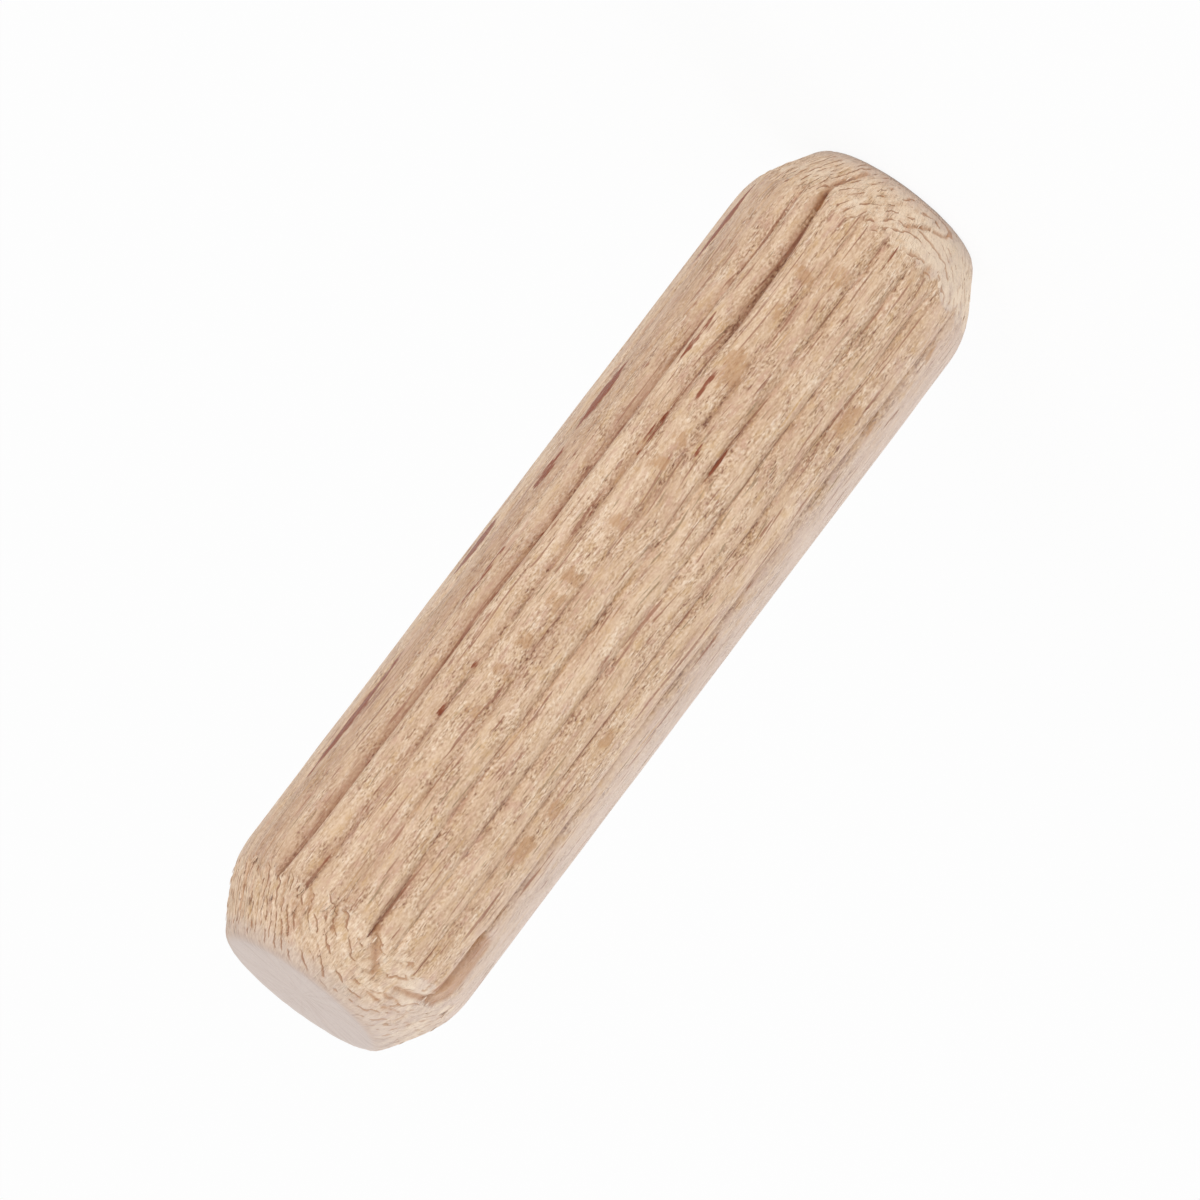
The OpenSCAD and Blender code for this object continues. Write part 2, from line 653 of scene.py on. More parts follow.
@dataclass
class DowelPin:
    """The pin's body: one piece of beech, fluted along its wall and roughly cut at its lead-ins.

    Attributes:
        outline: its side outline.
        flutes: its flutes.
        flecks: rows of flecks where broad rays are cut through.
        gouges: lines along which the wood broke away.
        edge: the line at which the ridges stop.
        layers: the layers torn on the lead-ins.
        columns_per_flute: grid columns from one flute to the next.
        blend: width over which a flute runs out into a lead-in.
        torn: height of the overlapping shreds on the lead-ins.
        split: depth of the splits between the shreds.
        wave: broad low waves of the wall.
        fibre: fibres that stand a little proud of it.
        saw_mark: roughness of the end faces.
        waver: how the edges of the gouges waver.
        waver_reach: how far they waver, in millimetres.
        waver_shade_and_stain: how much their painted shade and stain change with it.
        face_height: height on the rim at which the finish of the end face stops.
        face_reach: distances from the end between which it fades on the flutes.
        full_drop: depth at which a flute takes its full painted shade.
        deepest: greatest painted shade of a flute, where 1 is the full one.
        valley_power: power that keeps the painted shade line of a flute close to its bottom line.
        broken: where that line is broken off.
        plain_valley: strength of the painted shade line in a flute without other shade or stain.
        shade_and_stain_gain: how soon shade and stain bring that line to its full strength.
        cleared: share of the painted shade and stain that is cut away on a lead-in.
        split_shade: how dark the painted shade in the splits is.
        lead_reach: distances from the cut edge between which the finish of a lead-in fades.
        painted_light_reach, rim_reach: heights between which the painted light low down and the paler wood
            at a rim fade.
    """

    outline: Outline
    flutes: Flutes
    flecks: tuple[FleckRow, ...] = ()
    gouges: tuple[Gouge, ...] = ()
    edge: CutEdge = CutEdge()
    layers: TornLayers = TornLayers()
    columns_per_flute: int = 17
    blend: float = 0.04
    torn: float = 0.04
    split: float = 0.04
    wave: Ripple = Ripple(0.012, 7.0, 9, 5)
    fibre: Ripple = Ripple(0.01, 1.8, 160, 6)
    saw_mark: Ripple = Ripple(0.006, 0.3, 60, 12)
    waver: Ripple = Ripple(1.0, 0.3, 90, 16)
    waver_reach: float = 0.05
    waver_shade_and_stain: float = 0.2
    face_height: float = 0.35
    face_reach: tuple[float, float] = (0.5, 0.1)
    full_drop: float = 0.2
    deepest: float = 1.6
    valley_power: float = 7.0
    broken: Ripple = Ripple(0.5, 0.9, 96, 13)
    plain_valley: float = 0.35
    shade_and_stain_gain: float = 2.0
    cleared: float = 0.8
    split_shade: float = 0.6
    lead_reach: tuple[float, float] = (0.3, -0.2)
    painted_light_reach: tuple[float, float] = (2.3, 1.4)
    rim_reach: tuple[float, float] = (0.7, 0.2)
    body: bpy.types.Object | None = field(default=None, init=False)

    def skin(self) -> Skin:
        """The pin's surface as a function of the place round it and the place along its outline.

        Each point lies at the smaller of the outline's radius and the fluted wall's radius, then moves
        along the outline's outward direction by the roughness there: waves and fibres on the wall, the
        step at the cut edge, shreds and splits on the lead-ins, gouges, and saw marks on the faces.

        Returns:
            The grid of the surface.
        """
        rows = self.outline.rows()
        base_r, height, out_r, out_z = (rows[:, k : k + 1] for k in range(4))
        length, count = self.outline.length, self.flutes.count
        place = np.arange(count * self.columns_per_flute)[None, :] / self.columns_per_flute
        turn = place / count
        angle = self.flutes.angle(place, height, length)
        drop, shade_and_stain = self.flutes.drop(place, height, length)
        near = self.flutes.nearness(self.flutes.crowded(place))[1] + 0.0 * height
        fluted = self.fluted_radius(base_r, drop)
        end_height = np.minimum(height, length - height)
        lower, upper = height < length / 2.0, np.round(height / length)
        edge = self.edge.distance(turn, upper, near)
        face = smooth_step(self.outline.radius_at(self.face_height), self.outline.face_radius, base_r)
        face = face * smooth_step(*self.face_reach, end_height)
        cut = smooth_step(edge + self.edge.blur, edge - self.edge.blur, end_height) * (1.0 - face)
        shred, split = self.layers.at(angle, fluted, height, lower)
        dent, mark = self.gouged(angle, height)
        rough = (1.0 - cut) * (1.0 - face) * (self.wave.at(turn, height) + self.fibre.at(turn, height))
        rough = rough + self.edge.step(angle, end_height - edge, lower, cut)
        rough = rough - cut * (self.torn * shred + self.split * split) - dent * (1.0 - face)
        rough = rough + face * self.saw_mark.at(turn, end_height)
        radius = fluted + out_r * rough
        level = height + out_z * rough
        stretch = np.hypot(np.diff(rows[:, 0]), np.diff(rows[:, 1]))
        along = np.concatenate([[0.0], np.cumsum(stretch)]) + rows[0, 0]
        # The painted shade line along each flute's bottom is stronger under a press mark or band.
        shade_and_stain_share = np.clip(self.shade_and_stain_gain * shade_and_stain, 0.0, 1.0)
        line = self.plain_valley + (1.0 - self.plain_valley) * shade_and_stain_share
        line = line * (self.broken.height + self.broken.at(turn, height))
        shares = {
            # hollow_shade: painted shade in the flutes, growing with their depth; the finish also reads it
            # for roughness.
            "hollow_shade": near**2 * np.clip(drop / self.full_drop, 0.0, self.deepest) * (1.0 - cut),
            # valley_shade: a thin line of painted shade along each flute's bottom line, broken here and
            # there.
            "valley_shade": near**self.valley_power * line * (1.0 - cut),
            # shade_and_stain: painted shade and stain of the press marks and the darker bands, mostly
            # cleared on the lead-ins.
            "shade_and_stain": shade_and_stain * (1.0 - self.cleared * cut),
            "lead_in": smooth_step(*(edge + reach for reach in self.lead_reach), end_height) * (1.0 - face),
            "shred": cut * shred,
            # split: painted shade in the splits between the shreds and in the gouges.
            "split": np.clip(self.split_shade * cut * split + mark, 0.0, 1.0),
            "end_face": face + 0.0 * near,
            # lower: painted light on the lower lead-in, which the finish makes paler and lays a painted
            # sheen on.
            "lower": smooth_step(*self.painted_light_reach, height) + 0.0 * near,
            "rim": cut * smooth_step(*self.rim_reach, end_height),
            "spindle": self.fleck_level(FleckShape.SPINDLE, angle, height),
            "patch": self.fleck_level(FleckShape.PATCH, angle, height),
        }
        way = np.radians(angle)
        points = np.stack([radius * np.cos(way), radius * np.sin(way), level + 0.0 * way], -1)
        return Skin(points, along / (along[-1] + rows[-1, 0]), shares)

    def fluted_radius(self, base_r: Array, drop: Array) -> Array:
        """The smaller of the outline's radius and the fluted wall's, with their corner blended."""
        wall_r = self.outline.radius - drop
        gap = np.clip(self.blend - np.abs(base_r - wall_r), 0.0, None) / self.blend
        return np.minimum(base_r, wall_r) - gap**2 * self.blend / 4.0

    def ground(self, angle: Array, end_height: Array, upper: Array) -> Array:
        """Radius of the surface that the slivers stand on.

        Args:
            angle: how far round from +X.
            end_height: distance from the nearer end.
            upper: 1 on the upper end and 0 on the lower one.

        Returns:
            The radius in millimetres.
        """
        height = np.where(upper > 0.5, self.outline.length - end_height, end_height)
        drop = self.flutes.drop(self.flutes.place_at(angle), height, self.outline.length)[0]
        return self.fluted_radius(self.outline.radius_at(end_height), drop)

    def gouged(self, angle: Array, height: Array) -> tuple[Array, Array]:
        """How deep the gouges are at each point, and how dark.

        Args:
            angle: how far round from +X.
            height: height above the lower face.

        Returns:
            The depth in millimetres, and the darkness from 0 to 1.
        """
        upper = np.round(height / self.outline.length)
        end_height = np.minimum(height, self.outline.length - height)
        waver = self.waver.at(angle / 360.0, height)
        depth = np.zeros(np.broadcast(angle, height).shape)
        dark = depth.copy()
        for gouge in self.gouges:
            level = gouge.level(angle, end_height + self.waver_reach * waver, upper)
            depth = depth + gouge.depth * level
            # A gouge's darkness is painted shade and stain in it.
            shade_and_stain = gouge.shade_and_stain * (1.0 - self.waver_shade_and_stain + self.waver_shade_and_stain * waver)
            dark = np.maximum(dark, shade_and_stain * level)
        return depth, dark

    def fleck_level(self, shape: FleckShape, angle: Array, height: Array) -> Array:
        """How far inside the flecks of one shape each point is, from -1 to 1."""
        level = np.full(np.broadcast(angle, height).shape, -1.0)
        for row in self.flecks:
            if row.shape is shape:
                around = turn_between(angle, row.angle) * math.radians(1.0) * self.outline.radius
                level = np.maximum(level, row.level(around, self.outline.length - height))
        return level

    def build(self) -> bpy.types.Object:
        """Make the pin's mesh: the grid, closed by a fan at each pole, with its own map.

        Returns:
            The pin's object.
        """
        skin = self.skin()
        rows, columns = skin.points.shape[:2]
        along = skin.along
        poles = np.array([[0.0, 0.0, 0.0], [0.0, 0.0, self.outline.length]])
        vertices = np.vstack([skin.points.reshape(-1, 3), poles]) * MM
        row, column = np.meshgrid(np.arange(rows - 1), np.arange(columns), indexing="ij")
        after = (column + 1) % columns
        corners = [row * columns + column, row * columns + after,
                   (row + 1) * columns + after, (row + 1) * columns + column]
        quads = np.stack(corners, -1).reshape(-1, 4)
        u0, u1 = column / columns, (column + 1) / columns
        quad_map = np.stack([u0, along[row], u1, along[row], u1, along[row + 1], u0, along[row + 1]], -1)
        ring = np.arange(columns)
        low, high = rows * columns, rows * columns + 1
        top = (rows - 1) * columns
        fans = np.vstack([
            np.stack([ring * 0 + low, (ring + 1) % columns, ring], 1),
            np.stack([ring * 0 + high, top + ring, top + (ring + 1) % columns], 1),
        ])
        left, right = ring / columns, (ring + 1) / columns
        middle = (left + right) / 2.0
        zero, one = 0.0 * left, 0.0 * left + 1.0
        fan_map = np.vstack([
            np.stack([middle, zero, right, zero + along[0], left, zero + along[0]], 1),
            np.stack([middle, one, left, zero + along[-1], right, zero + along[-1]], 1),
        ])
        self.body = new_mesh("beech_pin", vertices, quads.tolist() + fans.tolist())
        uv_map = self.body.data.uv_layers.new(name="OFBake")
        flat_map = np.concatenate([quad_map.ravel(), fan_map.ravel()]).astype(np.float32)
        uv_map.data.foreach_set("uv", flat_map)
        for name, share in skin.shares.items():
            at_poles = [share[0].mean(), share[-1].mean()]
            store_share(self.body, name, np.concatenate([share.ravel(), at_poles]))
        return self.body

    def dress(self, finish: "BeechFinish") -> None:
        """Give the pin its finish and tie it to the frame."""
        self.body.data.materials.append(finish.material())
        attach(self.body, "root")
        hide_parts(NODE)


def new_mesh(name: str, vertices: Array, faces: list) -> bpy.types.Object:
    """Make a smooth mesh object at the origin and link it to the scene.

    Args:
        name: what it is called.
        vertices: its points in metres.
        faces: its faces, each a list of point numbers.

    Returns:
        The object.
    """
    mesh = bpy.data.meshes.new(name)
    mesh.from_pydata(vertices.tolist(), [], faces)
    mesh.polygons.foreach_set("use_smooth", np.ones(len(mesh.polygons), bool))
    mesh.update()
    made = bpy.data.objects.new(name, mesh)
    bpy.context.scene.collection.objects.link(made)
    return made


def store_share(body: bpy.types.Object, name: str, values: Array) -> None:
    """Store a value for each point of a mesh, which the finish reads by its name."""
    attribute = body.data.attributes.new(name, "FLOAT", "POINT")
    attribute.data.foreach_set("value", values.astype(np.float32))


@dataclass(frozen=True)
class SliverGroup:
    """Loose slivers of wood of one kind, thrown at random over a part of the pin's ends.

    Attributes:
        count: how many there are on each end.
        nearest, farthest: where they are rooted, in millimetres from the end face.
        length, width, lift: their least and greatest length, width and height of the free tip.
    """

    count: int
    nearest: float
    farthest: float
    length: tuple[float, float]
    width: tuple[float, float]
    lift: tuple[float, float]


@dataclass
class LooseSlivers:
    """Slivers that the cutter left standing on the lead-ins, each a small closed solid.

    Attributes:
        pin: the pin that they stand on.
        groups: the kinds of sliver thrown at random.
        chips: single curled chips, each as a row that throw would give.
        rings: rings of points along a sliver.
        sides: points on each ring.
        thickness: a sliver's thickness as a share of its width.
        sunk: how deep its root is in the wood.
        least_width: width of its root, as a share of its width.
        drift: spread of how far the slivers drift sideways, as a share of their length.
        drift_radius: distance from the axis at which that drift is laid out.
        seed: seed of their places and shapes.
    """

    pin: DowelPin
    groups: tuple[SliverGroup, ...]
    chips: tuple[tuple[float, ...], ...] = ()
    rings: int = 7
    sides: int = 6
    thickness: float = 0.35
    sunk: float = 0.03
    least_width: float = 0.12
    drift: float = 0.12
    drift_radius: float = 4.0
    seed: int = 21
    body: bpy.types.Object | None = field(default=None, init=False)

    def throw(self, group: SliverGroup, random: np.random.Generator) -> Array:
        """Draw the slivers of one group for both ends.

        Args:
            group: the kind of sliver.
            random: the source of random numbers.

        Returns:
            A row for each sliver: angle, distance from the end, length, width, lift, drift and whether
            it is on the upper end.
        """
        number = 2 * group.count
        return np.stack([
            random.uniform(0.0, 360.0, number),
            random.uniform(group.nearest, group.farthest, number),
            random.uniform(*group.length, number),
            random.uniform(*group.width, number),
            random.uniform(*group.lift, number),
            random.normal(0.0, self.drift, number),
            np.arange(number) % 2,
        ], 1)

    def points(self, slivers: Array) -> Array:
        """Points of all the slivers at once.

        A sliver's middle line starts in the wood, runs towards the end face along the lead-in and
        lifts off it by lift * s^2, with s from 0 at its root to 1 at its tip. Its section is an ellipse
        whose width goes as least_width + sqrt(s) * (1 - s^3), so both ends are narrow.

        Args:
            slivers: a row for each sliver, as throw gives them.

        Returns:
            The points in millimetres, by sliver, ring and side.
        """
        angle, start, length, width, lift, drift, upper = (slivers[:, k, None, None] for k in range(7))
        s = np.linspace(0.0, 1.0, self.rings)[None, :, None]
        turn = np.linspace(0.0, 2.0 * math.pi, self.sides, endpoint=False)[None, None, :]
        slope = math.radians(self.pin.outline.lead_angle)
        half = width / 2.0 * (self.least_width + np.sqrt(s) * (1.0 - s**3))
        sideways = half * np.cos(turn) + drift * length * s**2
        proud = half * self.thickness * np.sin(turn) + lift * s**2 - self.sunk * (1.0 - s) ** 2
        end_height = start - length * s * math.cos(slope)
        turned = angle + np.degrees(drift * length * s**2 / self.drift_radius)
        ground = self.pin.ground(turned, end_height, upper)
        radius = ground + proud * math.cos(slope)
        end_height = end_height - proud * math.sin(slope)
        around = np.radians(angle) + sideways / radius
        height = np.where(upper > 0.5, self.pin.outline.length - end_height, end_height)
        return np.stack([radius * np.cos(around), radius * np.sin(around), height], -1)

    def build(self) -> bpy.types.Object:
        """Make all the slivers as one mesh of closed shells.

        Returns:
            The slivers' object.
        """
        random = np.random.default_rng(self.seed)
        slivers = np.vstack([self.throw(group, random) for group in self.groups] + [np.array(self.chips)])
        points = self.points(slivers)
        number = len(slivers)
        per = self.rings * self.sides
        ring, side = np.meshgrid(np.arange(self.rings - 1), np.arange(self.sides), indexing="ij")
        after = (side + 1) % self.sides
        wall = np.stack([ring * self.sides + side, (ring + 1) * self.sides + side,
                         (ring + 1) * self.sides + after, ring * self.sides + after], -1).reshape(-1, 4)
        root, tip = list(range(self.sides)), list(range(per - 1, per - self.sides - 1, -1))
        faces: list = []
        for k in range(number):
            shell = (wall + k * per).tolist() + [[k * per + i for i in root], [k * per + i for i in tip]]
            faces += shell if slivers[k, 6] > 0.5 else [face[::-1] for face in shell]
        self.body = new_mesh("loose_slivers", points.reshape(-1, 3) * MM, faces)
        ones = np.ones(number * per)
        store_share(self.body, "lead_in", ones)
        # lower: painted light on the slivers of the lower end.
        store_share(self.body, "lower", np.repeat(1.0 - slivers[:, 6], per))
        store_share(self.body, "spindle", -ones)
        store_share(self.body, "patch", -ones)
        return self.body

    def dress(self, finish: "BeechFinish") -> None:
        """Give the slivers the pin's finish and tie them to the frame."""
        self.body.data.materials.append(finish.material())
        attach(self.body, "root")


def srgb(red: int, green: int, blue: int) -> Colour:
    """Linear colour from the eight-bit values that a screen shows."""
    def linear(value: int) -> float:
        """Linear level of one eight-bit value."""
        share = value / 255.0
        return share / 12.92 if share <= 0.04045 else ((share + 0.055) / 1.055) ** 2.4
    return linear(red), linear(green), linear(blue)


Socket = bpy.types.NodeSocket
Source = Socket | float | tuple
Size = tuple[float, float, float]
Tones = tuple[tuple[float, Colour], ...]


def grain(across: float, along: float) -> Size:
    """Size of features that are drawn out along the pin."""
    return across, across, along


def layers(thin: float, long: float) -> Size:
    """Size of features that lie flat in the wood's layers."""
    return long, thin, long


@dataclass(frozen=True)
class Pattern:
    """A noise in the wood.

    Attributes:
        size: sizes of its features along X, Y and Z, in millimetres.
        detail: how many finer noises are added to it.
        gain: strength of each finer noise beside the one before it.
    """

    size: Size
    detail: float = 2.0
    gain: float = 0.5


@dataclass(frozen=True)
class Blobs:
    """Separate blobs in the wood, one to a cell at most.

    Attributes:
        across: a cell's size across the grain, in millimetres.
        along: a cell's size along the grain.
        size: a blob's half size, as a share of its cell.
        kept: share of the cells that hold a blob.
        exponent: 2 for an ellipse, and less for a spindle with pointed ends.
        blur: half the width of a blob's edge, as a share of its half size.
    """

    across: float
    along: float
    size: float
    kept: float
    exponent: float = 2.0
    blur: float = 0.3


@dataclass
class Graph:
    """Adds shader nodes to one tree and joins them.

    Attributes:
        tree: the tree.
    """

    tree: bpy.types.NodeTree

    def node(self, kind: str, inputs: dict[str | int, Source] | None = None, **settings) -> bpy.types.Node:
        """Add a node.

        Args:
            kind: the node's type name.
            inputs: what each input socket takes, a socket or a value.
            settings: the node's own properties.

        Returns:
            The new node.
        """
        made = self.tree.nodes.new(kind)
        for name, value in settings.items():
            setattr(made, name, value)
        for name, value in (inputs or {}).items():
            self.feed(made.inputs[name], value)
        return made

    def feed(self, socket: Socket, value: Source) -> None:
        """Join a socket to an input, or set the input to a value."""
        if isinstance(value, Socket):
            self.tree.links.new(value, socket)
        else:
            socket.default_value = value

    def math(self, operation: str, first: Source, second: Source = 0.0) -> Socket:
        """Result of one sum on two numbers."""
        return self.node("ShaderNodeMath", {0: first, 1: second}, operation=operation).outputs[0]

    def times(self, first: Source, second: Source) -> Socket:
        """Product of two numbers."""
        return self.math("MULTIPLY", first, second)

    def rest_of(self, share: Source) -> Socket:
        """What is left of 1 beside a share."""
        return self.math("SUBTRACT", 1.0, share)

    def vector(self, operation: str, first: Source, second: Source = (0.0, 0.0, 0.0)) -> Socket:
        """Result of one sum on two vectors."""
        return self.node("ShaderNodeVectorMath", {0: first, 1: second}, operation=operation).outputs[0]

    def rise(self, value: Source, low: float, high: float, top: float = 1.0) -> Socket:
        """Smooth rise from 0 at low to top at high."""
        inputs = {"Value": value, "From Min": low, "From Max": high, "To Min": 0.0, "To Max": top}
        return self.node("ShaderNodeMapRange", inputs, interpolation_type="SMOOTHSTEP").outputs[0]

    def total(self, base: float, *parts: tuple[Source, float]) -> Socket:
        """Sum of a base and of sources, each with its own weight."""
        made: Source = base
        for value, weight in parts:
            inputs = {0: value, 1: weight, 2: made}
            made = self.node("ShaderNodeMath", inputs, operation="MULTIPLY_ADD").outputs[0]
        return made

    def tint(self, share: Source, under: Source, over: Source) -> Socket:
        """Colour over laid on colour under by share."""
        made = self.node("ShaderNodeMix", data_type="RGBA")
        self.feed(made.inputs[0], share)
        self.feed(made.inputs[6], under if isinstance(under, Socket) else (*under, 1.0))
        self.feed(made.inputs[7], over if isinstance(over, Socket) else (*over, 1.0))
        return made.outputs[2]

    def ramp(self, value: Source, tones: Tones) -> Socket:
        """Colour for a level, blended between tones that are given with their levels."""
        made = self.node("ShaderNodeValToRGB", {0: value})
        stops = made.color_ramp.elements
        for _ in tones[2:]:
            stops.new(0.5)
        for stop, (level, colour) in zip(stops, tones):
            stop.position = level
            stop.color = (*colour, 1.0)
        return made.outputs[0]

    def noise(self, place: Source, pattern: Pattern) -> Socket:
        """A pattern's noise about zero, read at a place."""
        at = self.vector("MULTIPLY", place, tuple(1.0 / side for side in pattern.size))
        inputs = {"Vector": at, "Scale": 1.0, "Detail": pattern.detail, "Roughness": pattern.gain}
        return self.math("SUBTRACT", self.node("ShaderNodeTexNoise", inputs).outputs["Fac"], 0.5)

    def spots(self, place: Source, blobs: Blobs) -> Socket:
        """1 inside each blob and 0 outside it, read at a place."""
        at = self.vector("MULTIPLY", place, (1.0 / blobs.across, 1.0 / blobs.across, 1.0 / blobs.along))
        inputs = {"Vector": at, "Scale": 1.0, "Randomness": 1.0}
        made = self.node("ShaderNodeTexVoronoi", inputs, distance="MINKOWSKI")
        made.inputs["Exponent"].default_value = blobs.exponent
        outer, inner = blobs.size * (1.0 + blobs.blur), blobs.size * (1.0 - blobs.blur)
        inside = self.rise(made.outputs["Distance"], outer, inner)
        split = self.node("ShaderNodeSeparateColor", {0: made.outputs["Color"]})
        return self.times(inside, self.math("LESS_THAN", split.outputs[0], blobs.kept))

    def share(self, name: str) -> Socket:
        """A share stored on the mesh."""
        return self.node("ShaderNodeAttribute", attribute_name=name).outputs["Fac"]


@dataclass(frozen=True)
class BeechGrain:
    """The patterns of the wood, drawn out along the grain or flat in its layers.

    Attributes:
        fine, grit: single fibres, and their broken ends.
        blotch, streak, fibre: unevenness of the wall, from the broadest to the finest.
        frayed, lenses: where its fibres are broken, and spots where they are not.
        plates, flakes: what the lead-ins tore into, along the layers and along the grain.
        stray, opening: how the cracks between the layers stray, and where they are open.
        hue: pinker and yellower parts.
        vessel, kind: open vessels, and which of them are greyer.
        line, glint: thin lines along the grain, and tiny painted highlights.
        rays: broad rays that are cut across.
        ragged: ragged edges of the marks.
        lumps: paler wood on the lead-ins.
        end_lines, end_specks: lines and pores of the end grain.
    """

    fine: Pattern = Pattern(grain(0.07, 0.6), 3.0, 0.65)
    grit: Pattern = Pattern(grain(0.055, 0.12), 1.0)
    blotch: Pattern = Pattern(grain(1.2, 6.0))
    streak: Pattern = Pattern(grain(0.42, 3.2))
    fibre: Pattern = Pattern(grain(0.17, 1.5), 2.0, 0.6)
    frayed: Pattern = Pattern(grain(0.34, 1.3))
    lenses: Blobs = Blobs(0.5, 1.1, 0.3, 0.3)
    plates: Pattern = Pattern(layers(0.13, 0.7), 2.0, 0.6)
    flakes: Pattern = Pattern(grain(0.1, 0.16), 2.0, 0.6)
    stray: Pattern = Pattern(layers(0.35, 0.6), 2.0, 0.6)
    opening: Pattern = Pattern(layers(0.14, 0.4), 1.0)
    hue: Pattern = Pattern(grain(0.3, 0.7), 4.0, 0.7)
    vessel: Pattern = Pattern(grain(0.085, 1.5), 2.0, 0.6)
    kind: Pattern = Pattern(grain(0.5, 2.5), 1.0)
    line: Pattern = Pattern(grain(0.11, 4.5), 1.0)
    glint: Pattern = Pattern(grain(0.06, 0.14), 1.0)
    rays: Blobs = Blobs(0.4, 1.8, 0.22, 0.5, 0.8)
    ragged: Pattern = Pattern(grain(0.2, 0.5))
    lumps: Pattern = Pattern(grain(0.35, 0.45), 2.0, 0.6)
    end_lines: Pattern = Pattern((1.4, 0.1, 2.0), 3.0)
    end_specks: Pattern = Pattern((0.07, 0.07, 0.07))


@dataclass(frozen=True)
class WoodBase:
    """What all parts of the finish build on.

    Attributes:
        graph: the material's graph.
        wood: millimetres along the tree's radius, across it and up the pin.
        away, across: the first and the second of these.
        skin: places on the wall, where fibres keep their width.
        fine, grit: noise of the single fibres, and of their broken ends.
        cut: 1 on a lead-in.
    """

    graph: Graph
    wood: Socket
    away: Socket
    across: Socket
    skin: Socket
    fine: Socket
    grit: Socket
    cut: Socket


